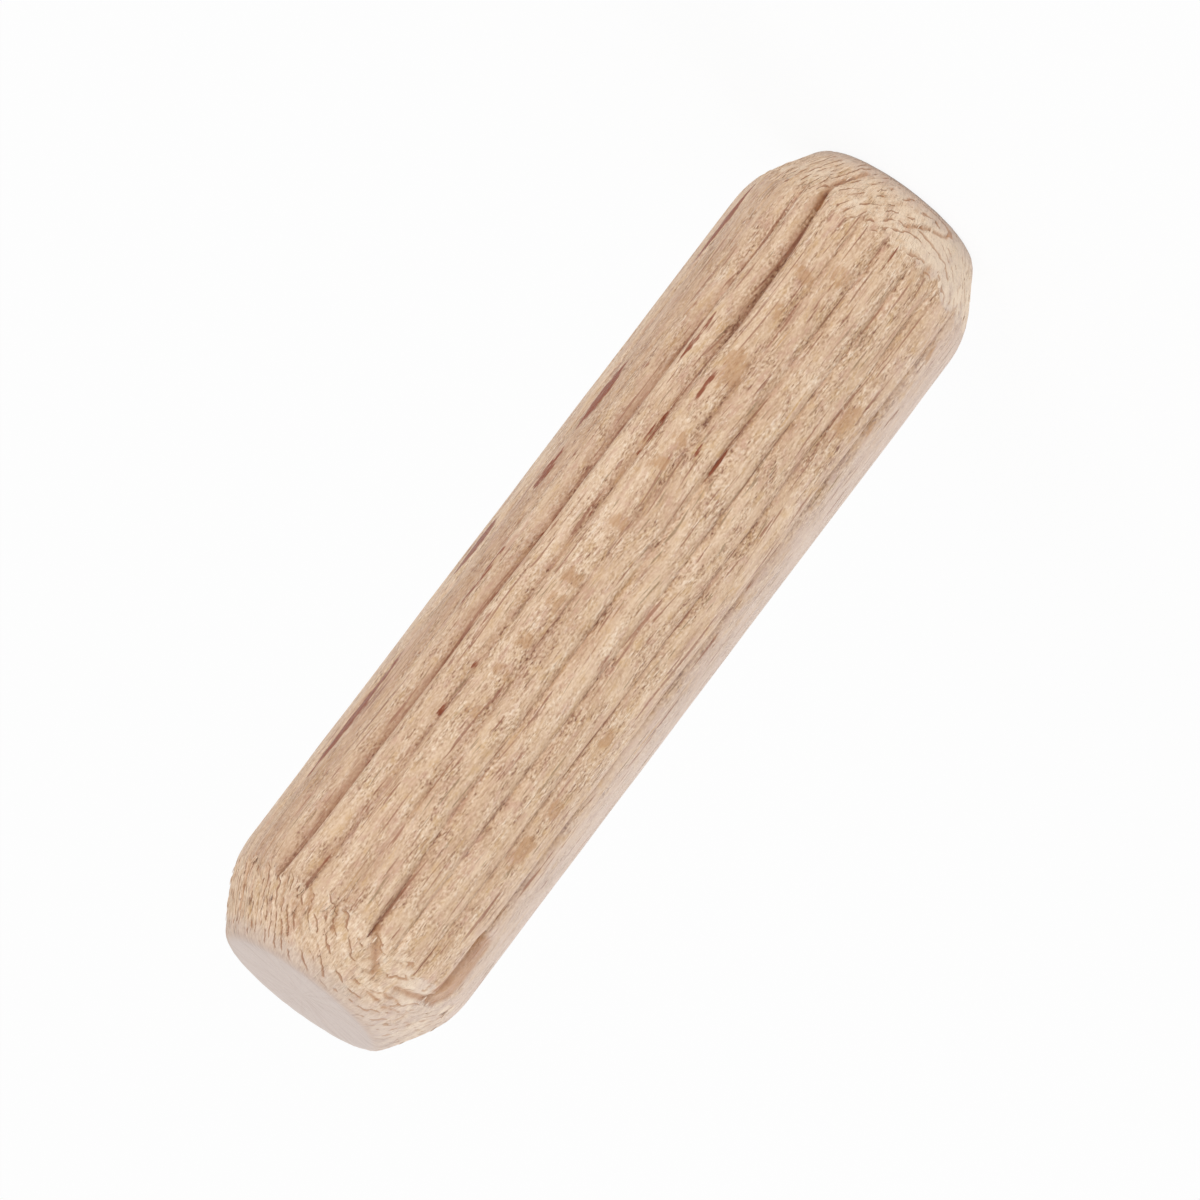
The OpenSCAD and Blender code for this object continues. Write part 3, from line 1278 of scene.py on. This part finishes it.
@dataclass(frozen=True)
class BeechFinish:
    """Unfinished beech, machined: fine straight grain, satin on the ridges, rough at the ends.

    Attributes:
        radius: radius of the wall, on which the fibres' pattern is laid.
        radial_angle: direction of the tree's radius across the pin, from +X.
        layer: thickness of the layers that the lead-ins tore along.
        sway_pace: how quickly the fibres sway, per millimetre along X, Y and Z.
        sway: how far they sway, in millimetres.
        bump: strength of the relief.
        bump_height: height of the relief, in millimetres.
        wall_tone, torn_tone: plain level of the wood on the wall and on a lead-in.
        roughness: how dull the wood is.
        specular: how strongly it mirrors.
        sheen: glow of the fine fibres, and sheen_roughness: how soft that glow is.
        patterns: the patterns of the wood.
        tones: colours of the wood from its darkest fibres to its palest.
        warm: colour of its pinker parts.
        golden: colour of its yellower parts.
        rust: colour of open vessels, and green: of those that are greyer.
        vein: colour of the thin yellow lines along the grain.
        line: colour of the painted shade along the flutes' bottom lines, and in the deepest cracks, splits
            and gouges.
        crack_shade: colour of the painted shade in the cracks and splits of the lead-ins and in the gouges.
        pale_and_highlight: colour of tiny painted highlights on the wall, of paler wood on the lead-ins and
            end faces, and of the painted light at the lower end.
        painted_sheen: colour of a painted sheen on one side of the pin, on the lead-ins and at the lower
            end.
        hollow_shade: colour of the painted shade and stain of the press marks in the flutes, and of the
            darker bands.
        ray: colour of broad rays cut across.
        gloss_ray: colour of broad rays cut flat.
        end: colour of the end grain.
        end_line: colour of the lines across it.
    """

    radius: float
    radial_angle: float = 340.0
    layer: float = 0.18
    sway_pace: Size = (0.3, 0.3, 0.16)
    sway: Size = (0.6, 0.6, 0.0)
    bump: float = 0.9
    bump_height: float = 0.05
    wall_tone: float = 0.575
    torn_tone: float = 0.67
    roughness: float = 0.52
    specular: float = 0.35
    sheen: float = 0.15
    sheen_roughness: float = 0.4
    patterns: BeechGrain = BeechGrain()
    tones: Tones = (
        (0.0, srgb(136, 94, 72)),
        (0.2, srgb(176, 138, 110)),
        (0.36, srgb(195, 160, 130)),
        (0.5, srgb(210, 177, 146)),
        (0.64, srgb(222, 192, 162)),
        (0.8, srgb(234, 206, 178)),
        (1.0, srgb(246, 224, 200)),
    )
    warm: Colour = srgb(204, 162, 140)
    golden: Colour = srgb(208, 170, 122)
    rust: Colour = srgb(150, 98, 74)
    green: Colour = srgb(152, 124, 92)
    vein: Colour = srgb(198, 150, 84)
    # Colour of painted shade along the flutes' bottom lines and in the deepest cracks, splits and gouges.
    line: Colour = srgb(134, 80, 62)
    # Colour of the painted shade in the cracks and splits of the lead-ins and in the gouges.
    crack_shade: Colour = srgb(180, 128, 88)
    # Colour of tiny painted highlights, of paler wood, and of the painted light at the lower end.
    pale_and_highlight: Colour = srgb(246, 226, 202)
    # Colour of a painted sheen on one side of the pin.
    painted_sheen: Colour = srgb(214, 196, 186)
    # Colour of the painted shade and stain of the press marks, and of the darker bands.
    hollow_shade: Colour = srgb(160, 114, 88)
    ray: Colour = srgb(136, 64, 32)
    gloss_ray: Colour = srgb(188, 142, 100)
    end: Colour = srgb(208, 190, 180)
    end_line: Colour = srgb(180, 158, 146)

    def material(self) -> bpy.types.Material:
        """Make the wood's material.

        Returns:
            The material, with its colour, roughness and relief from nodes on Object coordinates.
        """
        made = bpy.data.materials.new("beech")
        made.use_nodes = True
        graph = Graph(made.node_tree)
        graph.tree.nodes.clear()
        base = self.base(graph)
        wall, fibres = self.wall_level(base)
        torn, flakes, cracks = self.torn_level(base)
        change = graph.times(base.cut, graph.math("SUBTRACT", torn, wall))
        level = graph.total(0.0, (wall, 1.0), (change, 1.0))
        colour = self.hues(base, graph.ramp(level, self.tones))
        colour = self.strokes(base, colour)
        colour = self.cracked(base, colour, cracks)
        face = graph.share("end_face")
        relief = graph.total(0.0, (fibres, 1.0), (graph.times(base.cut, flakes), 1.0))
        bump = graph.node("ShaderNodeBump", {
            "Strength": self.bump,
            "Distance": self.bump_height * MM,
            "Height": graph.times(relief, graph.rest_of(face)),
        })
        hollow_shade = graph.share("hollow_shade")
        shader = graph.node("ShaderNodeBsdfPrincipled", {
            "Base Color": graph.tint(face, colour, self.end_colour(base)),
            "Roughness": graph.total(self.roughness, (base.fine, 0.6), (base.cut, 0.25), (hollow_shade, 0.15)),
            "Normal": bump.outputs[0],
            "Specular IOR Level": self.specular,
            "Sheen Weight": self.sheen,
            "Sheen Roughness": self.sheen_roughness,
        })
        graph.node("ShaderNodeOutputMaterial", {"Surface": shader.outputs[0]})
        return made

    def base(self, graph: Graph) -> WoodBase:
        """Places in the wood and on its wall, the finest noises, and where the lead-ins are.

        Args:
            graph: the material's graph.

        Returns:
            What all parts of the finish build on.
        """
        at = graph.node("ShaderNodeTexCoord").outputs["Object"]
        at = graph.vector("MULTIPLY", at, (1.0 / MM, 1.0 / MM, 1.0 / MM))
        inputs = {"Vector": at, "Angle": -math.radians(self.radial_angle)}
        wood = graph.node("ShaderNodeVectorRotate", inputs, rotation_type="Z_AXIS").outputs[0]
        away, across = graph.node("ShaderNodeSeparateXYZ", {0: wood}).outputs[:2]
        skin = self.unrolled(graph, wood)
        fine = graph.noise(skin, self.patterns.fine)
        grit = graph.noise(skin, self.patterns.grit)
        cut = graph.total(0.0, (graph.share("lead_in"), 1.0), (fine, 0.8), (grit, 0.5))
        return WoodBase(graph, wood, away, across, skin, fine, grit, graph.rise(cut, 0.3, 0.7))

    def unrolled(self, graph: Graph, wood: Source) -> Socket:
        """Places moved straight out to the wall's radius, with a slow sway, so fibres keep their width.

        Args:
            graph: the material's graph.
            wood: millimetres along the tree's radius, across it and up the pin.

        Returns:
            The place of each point on the wall.
        """
        flat = graph.vector("NORMALIZE", graph.vector("MULTIPLY", wood, (1.0, 1.0, 0.0)))
        rim = graph.vector("MULTIPLY", flat, (self.radius, self.radius, 0.0))
        skin = graph.vector("ADD", rim, graph.vector("MULTIPLY", wood, (0.0, 0.0, 1.0)))
        inputs = {"Vector": graph.vector("MULTIPLY", wood, self.sway_pace), "Scale": 1.0, "Detail": 1.0}
        drift = graph.node("ShaderNodeTexNoise", inputs).outputs["Color"]
        drift = graph.vector("MULTIPLY", graph.vector("SUBTRACT", drift, (0.5, 0.5, 0.5)), self.sway)
        return graph.vector("ADD", skin, drift)

    def wall_level(self, base: WoodBase) -> tuple[Socket, Socket]:
        """How light the fluted wall is: broad streaks, fibres and their broken ends, and painted shade in
        the flutes.

        Args:
            base: what all parts of the finish build on.

        Returns:
            The level, and the height of the fibres.
        """
        graph, skin, patterns = base.graph, base.skin, self.patterns
        hollow_shade = graph.share("hollow_shade")
        blotch = graph.noise(skin, patterns.blotch)
        streak = graph.noise(skin, patterns.streak)
        fibre = graph.noise(skin, patterns.fibre)
        lenses = graph.spots(skin, patterns.lenses)
        frayed = graph.rise(graph.noise(skin, patterns.frayed), -0.12, 0.12)
        frayed = graph.total(0.5, (frayed, 0.8), (hollow_shade, 0.3), (lenses, -0.3))
        broken = graph.times(graph.total(0.0, (base.fine, 1.2), (base.grit, 1.1)), frayed)
        # Painted shade in the flutes darkens the wall's level.
        level = graph.total(self.wall_tone, (blotch, 0.22), (streak, 0.4), (fibre, 0.65), (broken, 1.05),
                            (lenses, 0.05), (hollow_shade, -0.15))
        return level, graph.total(0.0, (fibre, 0.6), (broken, 0.65))

    def torn_level(self, base: WoodBase) -> tuple[Socket, Socket, Socket]:
        """How light the lead-ins are: flakes torn along the layers, with painted shade under their free ends
        and painted light towards their edges.

        Args:
            base: what all parts of the finish build on.

        Returns:
            The level, the height of the flakes, and the cracks between them.
        """
        graph, wood, patterns = base.graph, base.wood, self.patterns
        shred = graph.share("shred")
        plates = graph.noise(wood, patterns.plates)
        flakes = graph.noise(base.skin, patterns.flakes)
        stray = graph.noise(wood, patterns.stray)
        phase = graph.math("FRACT", graph.total(0.0, (base.across, 1.0 / self.layer), (stray, 1.7)))
        opening = graph.total(0.0, (graph.noise(wood, patterns.opening), 1.0), (shred, 0.06))
        # The cracks between the flakes carry painted shade.
        cracks = graph.times(graph.rise(phase, 0.4, 0.05), graph.rise(opening, -0.04, 0.07))
        cracks = graph.times(cracks, graph.total(0.8, (base.away, 0.1)))
        # Painted shade where a shred lies deep below its free end, and painted light towards each flake's
        # edge.
        level = graph.total(self.torn_tone, (plates, 0.6), (flakes, 0.6), (base.fine, 0.6), (base.grit, 1.0),
                            (shred, -0.1), (phase, 0.06))
        return level, graph.total(0.0, (plates, 0.5), (flakes, 0.8), (cracks, -0.7), (phase, 0.3)), cracks

    def hues(self, base: WoodBase, colour: Source) -> Socket:
        """Pinker and yellower parts of the wood, and a painted sheen on one side of the pin, on the lead-ins
        and at the lower end.

        Args:
            base: what all parts of the finish build on.
            colour: the wood's colour so far.

        Returns:
            The colour.
        """
        graph = base.graph
        hue = graph.noise(base.skin, self.patterns.hue)
        colour = graph.tint(graph.rise(hue, 0.0, 0.2, 0.6), colour, self.warm)
        colour = graph.tint(graph.rise(hue, -0.02, -0.2, 0.55), colour, self.golden)
        lower = graph.share("lower")
        # A painted sheen on one side of the pin, on the lead-ins and at the lower end, broken up by the hue.
        painted_sheen_share = graph.total(0.0, (base.away, -1.0), (hue, 2.0), (base.cut, 1.35), (lower, 0.8))
        return graph.tint(graph.rise(painted_sheen_share, 1.4, 3.4, 0.65), colour, self.painted_sheen)

    def strokes(self, base: WoodBase, colour: Source) -> Socket:
        """Marks on the wall: open vessels, yellow veins, painted highlights, broad rays, and painted shade
        in the flutes.

        Args:
            base: what all parts of the finish build on.
            colour: the wood's colour so far.

        Returns:
            The colour.
        """
        graph, skin, fine, patterns = base.graph, base.skin, base.fine, self.patterns
        hollow_shade = graph.share("hollow_shade")
        wall = graph.rest_of(base.cut)
        # More vessels and lines show in the flutes, which adds to their painted shade.
        vessel = graph.total(0.0, (graph.noise(skin, patterns.vessel), -1.0), (hollow_shade, 0.03))
        kind = graph.rise(graph.noise(skin, patterns.kind), -0.06, 0.06)
        mark = graph.tint(kind, self.green, self.rust)
        colour = graph.tint(graph.times(graph.rise(vessel, 0.12, 0.2, 0.75), wall), colour, mark)
        line = graph.noise(skin, patterns.line)
        lines = graph.rise(graph.total(0.0, (line, -1.0), (hollow_shade, 0.07)), 0.17, 0.23, 0.7)
        colour = graph.tint(graph.times(lines, wall), colour, self.rust)
        colour = graph.tint(graph.rise(line, 0.22, 0.28, 0.5), colour, self.vein)
        # Tiny painted highlights on the wall.
        glint = graph.noise(skin, patterns.glint)
        colour = graph.tint(graph.rise(glint, 0.16, 0.24, 0.5), colour, self.pale_and_highlight)
        rays = graph.times(graph.spots(base.wood, patterns.rays), graph.rise(base.away, 1.0, 3.2, 0.6))
        colour = graph.tint(rays, colour, self.ray)
        ragged = graph.total(0.0, (fine, 1.0), (graph.noise(skin, patterns.ragged), 1.0))
        patch = graph.total(0.0, (graph.share("patch"), 1.0), (ragged, 1.7))
        colour = graph.tint(graph.rise(patch, 0.0, 0.4, 0.62), colour, self.gloss_ray)
        # Painted shade and stain of the press marks and darker bands.
        shade = graph.total(0.0, (graph.share("shade_and_stain"), 1.0), (fine, 1.0), (ragged, 0.4))
        colour = graph.tint(graph.rise(shade, 0.0, 1.0, 0.8), colour, self.hollow_shade)
        # A thin line of painted shade along each flute's bottom line.
        valley_shade = graph.total(0.0, (graph.share("valley_shade"), 1.0), (fine, 1.2), (ragged, 0.6))
        colour = graph.tint(graph.rise(valley_shade, 0.4, 1.0, 0.6), colour, self.line)
        spindle = graph.total(0.0, (graph.share("spindle"), 1.0), (ragged, 1.0))
        return graph.tint(graph.rise(spindle, 0.0, 0.3, 0.92), colour, self.ray)

    def cracked(self, base: WoodBase, colour: Source, cracks: Source) -> Socket:
        """Marks on the lead-ins: painted shade in the cracks, splits and gouges, paler wood with painted
        light low down, and paler wood at the rim.

        Args:
            base: what all parts of the finish build on.
            colour: the wood's colour so far.
            cracks: the cracks between the flakes.

        Returns:
            The colour.
        """
        graph = base.graph
        lumps = graph.noise(base.skin, self.patterns.lumps)
        # Paler wood on the lead-ins, with painted light on the lower end.
        pale_wood_and_light = graph.total(0.1, (graph.share("lower"), 0.55), (lumps, 2.0), (base.away, -0.1))
        colour = graph.tint(graph.rise(graph.times(pale_wood_and_light, base.cut), 0.0, 1.0, 0.85), colour, self.pale_and_highlight)
        colour = graph.tint(graph.times(graph.share("rim"), 0.55), colour, self.end)
        # Painted shade in the cracks, splits and gouges of the lead-ins.
        cracks = graph.times(cracks, base.cut)
        split = graph.total(0.0, (graph.share("split"), 1.0), (base.fine, 0.6))
        colour = graph.tint(graph.rise(cracks, 0.1, 0.7, 0.6), colour, self.crack_shade)
        colour = graph.tint(graph.rise(cracks, 0.6, 1.0, 0.45), colour, self.line)
        colour = graph.tint(graph.rise(split, 0.1, 0.7, 0.6), colour, self.crack_shade)
        return graph.tint(graph.rise(split, 0.7, 1.0, 0.6), colour, self.line)

    def end_colour(self, base: WoodBase) -> Socket:
        """Colour of the end faces: smooth, pinkish, with faint lines along the rays.

        Args:
            base: what all parts of the finish build on.

        Returns:
            The colour.
        """
        graph = base.graph
        lines = graph.noise(base.wood, self.patterns.end_lines)
        specks = graph.noise(base.wood, self.patterns.end_specks)
        colour = graph.tint(graph.rise(lines, 0.02, -0.2, 0.5), self.end, self.end_line)
        colour = graph.tint(graph.rise(specks, 0.08, 0.26, 0.5), colour, self.end_line)
        return graph.tint(graph.rise(specks, -0.1, -0.3, 0.35), colour, self.pale_and_highlight)


@dataclass(frozen=True)
class Lamp:
    """A square soft box that faces the pin.

    Attributes:
        name: what it is called.
        azimuth: where it stands round the pin: 0 is in front, on the -Y side, and 90 is on the +X side.
        elevation: how high it stands.
        distance: how far off it stands, in metres.
        size: its side, in metres.
        level: how brightly it alone would light a white card that faces it.
    """

    name: str
    azimuth: float
    elevation: float
    distance: float
    size: float
    level: float

    def build(self, target: Vector) -> None:
        """Make the lamp.

        Its power is pi^2 * distance^2 * level, which lights a white card at the target to that level.

        Args:
            target: what it faces.
        """
        light = bpy.data.lights.new(self.name, "AREA")
        light.size = self.size
        light.energy = math.pi**2 * self.distance**2 * self.level
        lamp = bpy.data.objects.new(self.name, light)
        back = direction(self.azimuth, self.elevation)
        lamp.location = target + back * self.distance
        lamp.rotation_euler = (-back).to_track_quat("-Z", "Y").to_euler()
        bpy.context.scene.collection.objects.link(lamp)


def direction(azimuth: float, elevation: float) -> Vector:
    """Direction from the pin to a place round it, where azimuth 0 is the -Y side."""
    turn, rise = math.radians(azimuth), math.radians(elevation)
    return Vector((math.sin(turn) * math.cos(rise), -math.cos(turn) * math.cos(rise), math.sin(rise)))


@dataclass
class Studio:
    """The pale floor, the soft light and the camera.

    Attributes:
        target: middle of the pin, in metres.
        floor_half: half the floor's side, in metres.
        floor_glow: share of the floor that the camera sees as plain white, without the pin's shadow.
        air_level: how brightly the surroundings light the pin.
        lamps: the soft boxes.
        camera_distance: from the camera to the target, in metres.
        camera_elevation: how high the camera looks from.
        camera_roll: how far it is rolled from upright.
        camera_lens: its focal length in millimetres.
        white: how bright the white card is, and nearest, farthest: how far the camera sees, in metres.
    """

    target: Vector
    floor_half: float = 3.0
    floor_glow: float = 0.92
    air_level: float = 0.74
    lamps: tuple[Lamp, ...] = (
        Lamp("front_box", 25.0, 15.0, 0.7, 0.34, 0.32),
        Lamp("rim_box", 245.0, 15.0, 0.6, 0.28, 0.35),
    )
    camera_distance: float = 0.425
    camera_elevation: float = 13.0
    camera_roll: float = 217.16
    camera_lens: float = 433.4
    white: float = 0.9
    nearest: float = 0.01
    farthest: float = 20.0

    def build(self) -> None:
        """Make the floor, the surroundings, the lamps and the camera, and show colours as they are."""
        bpy.context.scene.view_settings.view_transform = "Standard"
        self.build_floor()
        self.build_air()
        for lamp in self.lamps:
            lamp.build(self.target)
        self.build_camera()

    def seen(self, graph: Graph) -> Socket:
        """1 for rays from the camera and for reflected and transmitted ones, which show the background."""
        path = graph.node("ShaderNodeLightPath")
        mirror = graph.math("MAXIMUM", path.outputs["Is Glossy Ray"], path.outputs["Is Transmission Ray"])
        return graph.math("MAXIMUM", path.outputs["Is Camera Ray"], mirror)

    def build_floor(self) -> None:
        """Make the floor, a white card that keeps some of the pin's shadow before the camera."""
        half = self.floor_half
        corners = np.array([(-half, -half, 0.0), (half, -half, 0.0), (half, half, 0.0), (-half, half, 0.0)])
        floor = new_mesh("floor", corners, [(0, 1, 2, 3)])
        paper = bpy.data.materials.new("white_card")
        paper.use_nodes = True
        graph = Graph(paper.node_tree)
        graph.tree.nodes.clear()
        card = graph.node("ShaderNodeBsdfDiffuse", {"Color": (self.white, self.white, self.white, 1.0)})
        glow = graph.node("ShaderNodeEmission", {"Strength": 1.0})
        share = graph.times(self.seen(graph), self.floor_glow)
        inputs = {0: share, 1: card.outputs[0], 2: glow.outputs[0]}
        mixed = graph.node("ShaderNodeMixShader", inputs)
        graph.node("ShaderNodeOutputMaterial", {"Surface": mixed.outputs[0]})
        floor.data.materials.append(paper)

    def build_air(self) -> None:
        """Make the surroundings: white to look at, and a plain level of light on the pin."""
        world = bpy.data.worlds.new("studio_air")
        world.use_nodes = True
        graph = Graph(world.node_tree)
        graph.tree.nodes.clear()
        light = graph.node("ShaderNodeBackground", {"Strength": self.air_level})
        white = graph.node("ShaderNodeBackground", {"Strength": 1.0})
        for background in (light, white):
            background.inputs["Color"].default_value = (1.0, 1.0, 1.0, 1.0)
        inputs = {0: self.seen(graph), 1: light.outputs[0], 2: white.outputs[0]}
        mixed = graph.node("ShaderNodeMixShader", inputs)
        graph.node("ShaderNodeOutputWorld", {"Surface": mixed.outputs[0]})
        bpy.context.scene.world = world

    def build_camera(self) -> None:
        """Make the camera, which looks at the pin's middle from a little above, rolled from upright."""
        data = bpy.data.cameras.new("camera")
        data.lens = self.camera_lens
        data.clip_start, data.clip_end = self.nearest, self.farthest
        camera = bpy.data.objects.new("camera", data)
        back = direction(0.0, self.camera_elevation)
        upright = (-back).to_track_quat("-Z", "Y").to_matrix()
        rolled = upright @ Matrix.Rotation(math.radians(self.camera_roll), 3, "Z")
        place = Matrix.Translation(self.target + back * self.camera_distance)
        camera.matrix_world = place @ rolled.to_4x4()
        bpy.context.scene.collection.objects.link(camera)
        bpy.context.scene.camera = camera


MARKS = (
    PressMark(19, 21.5, 30.8, 0.28, Side.AFTER, 0.25, 8.2),
    PressMark(19, 0.4, 6.0, 0.04, Side.AFTER, 0.05, upper_bend=2.0),
    PressMark(19, 0.0, 29.8, 0.06, Side.AFTER, 0.33),
    PressMark(20, 0.4, 6.5, 0.03, Side.AFTER, 0.0, upper_bend=2.2),
    PressMark(20, 0.0, 29.8, 0.06, Side.AFTER, 0.66),
    PressMark(18, 0.0, 29.8, 0.02, Side.BEFORE, 0.3),
    PressMark(17, 0.4, 5.2, 0.1, Side.BOTH, 0.45),
    PressMark(17, 2.0, 9.0, 0.0, Side.BOTH, 0.0, upper_bend=-3.0),
    PressMark(17, 0.0, 29.8, 0.0, Side.BEFORE, 0.15),
    PressMark(16, 0.0, 29.8, 0.0, Side.BOTH, 0.15),
    PressMark(15, 0.0, 29.8, 0.02, Side.AFTER, 0.18),
)

BANDS = ((21.4, 1.0, 0.42), (20.7, 0.4, 0.1), (7.3, 0.8, 0.3), (1.4, 0.6, 0.25))

SHIFTS = ((20, 1.4), (19, 1.3), (18, -0.5), (16, -0.8), (15, -1.3), (14, -5.4))

GOUGES = (
    Gouge(((233.2, 1.24), (224.0, 1.45), (215.0, 1.76)), 0.14, 0.16, 1.0),
    Gouge(((212.5, 2.0), (212.0, 3.0), (212.0, 4.0)), 0.08, 0.44, 0.8, 0.75),
    Gouge(((261.2, 2.2), (257.0, 1.8), (248.0, 1.2)), 0.117, 0.202, 1.0),
    Gouge(((286.0, 2.7), (284.5, 2.1)), -0.07, 0.3, 0.0, 0.3),
    Gouge(((301.5, 2.5), (301.0, 2.1)), -0.06, 0.25, 0.0, 0.3),
    Gouge(((338.0, 2.0), (337.0, 1.3), (338.5, 0.7)), 0.065, 0.109, 1.0),
    Gouge(((310.0, 2.1), (306.5, 1.2)), 0.052, 0.093, 0.8),
    Gouge(((296.0, 2.1), (291.0, 1.5)), 0.065, 0.124, 0.8),
    Gouge(((281.0, 2.0), (276.0, 1.4)), 0.065, 0.124, 0.7),
    Gouge(((235.0, 0.95), (224.0, 1.05)), 0.052, 0.093, 0.8),
    Gouge(((243.0, 0.66), (234.0, 0.76)), 0.052, 0.093, 0.8),
    Gouge(((228.0, 0.72), (221.0, 0.86)), 0.052, 0.093, 0.7),
    Gouge(((122.0, 2.1), (113.0, 1.3)), 0.078, 0.139, 0.9),
    Gouge(((61.0, 2.1), (66.0, 1.3)), 0.078, 0.124, 0.9),
    Gouge(((152.0, 1.4), (166.0, 1.2)), 0.065, 0.124, 0.8),
    Gouge(((300.5, 2.3), (302.5, 1.4), (300.0, 0.9), (296.5, 0.4)), 0.1, 0.16, 1.0, 0.3, upper=False),
    Gouge(((262.0, 1.2), (251.0, 0.75), (236.0, 0.45)), 0.065, 0.109, 0.9, upper=False),
    Gouge(((240.3, 1.65), (242.5, 2.0)), 0.078, 0.186, 0.7, upper=False),
    Gouge(((100.0, 2.0), (92.0, 1.2)), 0.078, 0.139, 0.9, upper=False),
    Gouge(((170.0, 1.1), (184.0, 1.0)), 0.065, 0.124, 0.8, upper=False),
    Gouge(((37.0, 2.0), (31.0, 1.2)), 0.065, 0.124, 0.8, upper=False),
)

FLECKS = (
    FleckRow(FleckShape.SPINDLE, 337.5, (7.4,), 5.2, 0.5),
    FleckRow(FleckShape.SPINDLE, 346.0, (13.7,), 2.6, 0.6),
    FleckRow(FleckShape.SPINDLE, 322.5, (12.7,), 2.8, 0.24, 0.5),
    FleckRow(FleckShape.SPINDLE, 332.7, (16.6,), 1.8, 0.42, 0.75),
    FleckRow(FleckShape.SPINDLE, 334.5, (19.4,), 2.9, 0.5),
    FleckRow(FleckShape.SPINDLE, 343.0, (26.0,), 3.6, 0.34),
    FleckRow(FleckShape.SPINDLE, 307.0, (22.2,), 2.1, 0.22, 0.7),
    FleckRow(FleckShape.SPINDLE, 296.5, (19.0,), 1.9, 0.26, 0.42),
    FleckRow(FleckShape.SPINDLE, 289.3, (21.0,), 2.6, 0.18, 0.55),
    FleckRow(FleckShape.SPINDLE, 275.0, (19.2,), 1.5, 0.12, 0.7),
    FleckRow(FleckShape.SPINDLE, 265.0, (19.2,), 1.5, 0.12, 0.7),
    FleckRow(FleckShape.SPINDLE, 259.0, (27.4,), 1.3, 0.11, 0.9),
    FleckRow(FleckShape.SPINDLE, 297.0, (8.6, 10.3, 16.1), 0.8, 0.16, 0.2),
    FleckRow(FleckShape.SPINDLE, 311.5, (6.2, 12.2, 14.5), 0.8, 0.16, 0.25),
    FleckRow(FleckShape.PATCH, 284.8, (11.6, 13.1, 14.0, 16.15, 18.3, 19.2, 24.1, 25.4), 0.55, 0.66, 0.9),
    FleckRow(FleckShape.PATCH, 284.8, (21.9,), 1.4, 0.8),
    FleckRow(FleckShape.PATCH, 270.5, (13.0, 26.0), 0.6, 0.7, 0.5),
    FleckRow(FleckShape.PATCH, 228.0, (6.8, 23.0), 1.3, 0.6),
    FleckRow(FleckShape.PATCH, 228.0, (8.3, 11.0), 0.8, 0.45),
    FleckRow(FleckShape.PATCH, 284.8, (9.1, 10.4), 0.5, 0.6, 0.35),
    FleckRow(FleckShape.PATCH, 214.0, (23.4, 26.3), 0.8, 0.6, 0.6),
)

SLIVERS = (
    SliverGroup(60, 0.8, 1.8, (0.2, 0.45), (0.05, 0.09), (0.0, 0.004)),
    SliverGroup(9, 1.7, 2.0, (0.2, 0.35), (0.07, 0.12), (0.0, 0.01)),
)

CHIPS = (
    (333.0, 2.2, 0.35, 0.28, 0.06, 0.1, 1.0),
    (301.0, 2.1, 0.4, 0.16, 0.08, 0.1, 1.0),
    (298.5, 1.9, 0.35, 0.14, 0.06, 0.3, 1.0),
    (284.0, 2.0, 0.45, 0.18, 0.09, 0.25, 1.0),
    (281.5, 1.95, 0.35, 0.14, 0.05, -0.1, 1.0),
    (122.0, 2.1, 0.5, 0.26, 0.08, -0.2, 1.0),
    (196.0, 2.1, 0.4, 0.24, 0.06, 0.15, 1.0),
    (232.0, 2.1, 0.4, 0.24, 0.05, 0.1, 0.0),
    (58.0, 2.1, 0.5, 0.26, 0.07, -0.15, 0.0),
)


def main() -> None:
    """Build the pin and the studio."""
    logging.basicConfig(level=logging.INFO, format="%(name)s: %(message)s")
    low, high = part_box(NODE)
    outline = Outline(radius=(high.x - low.x) / 2.0 / MM, length=high.z / MM)
    finish = BeechFinish(outline.radius)
    flutes = Flutes(faint=(11, 12, 13, 21, 22, 23), shifts=SHIFTS, marks=MARKS, bands=BANDS)
    pin = DowelPin(outline, flutes, FLECKS, GOUGES)
    for part in (pin, LooseSlivers(pin, SLIVERS, CHIPS)):
        body = part.build()
        part.dress(finish)
        log.info("%s: %d vertices, %d faces", body.name, len(body.data.vertices), len(body.data.polygons))
    Studio(target=(low + high) / 2.0 + Vector((0.0, 0.0, 0.07 * MM))).build()
    log.info("studio: floor, air, lamps and camera")


if __name__ == "__main__":
    main()
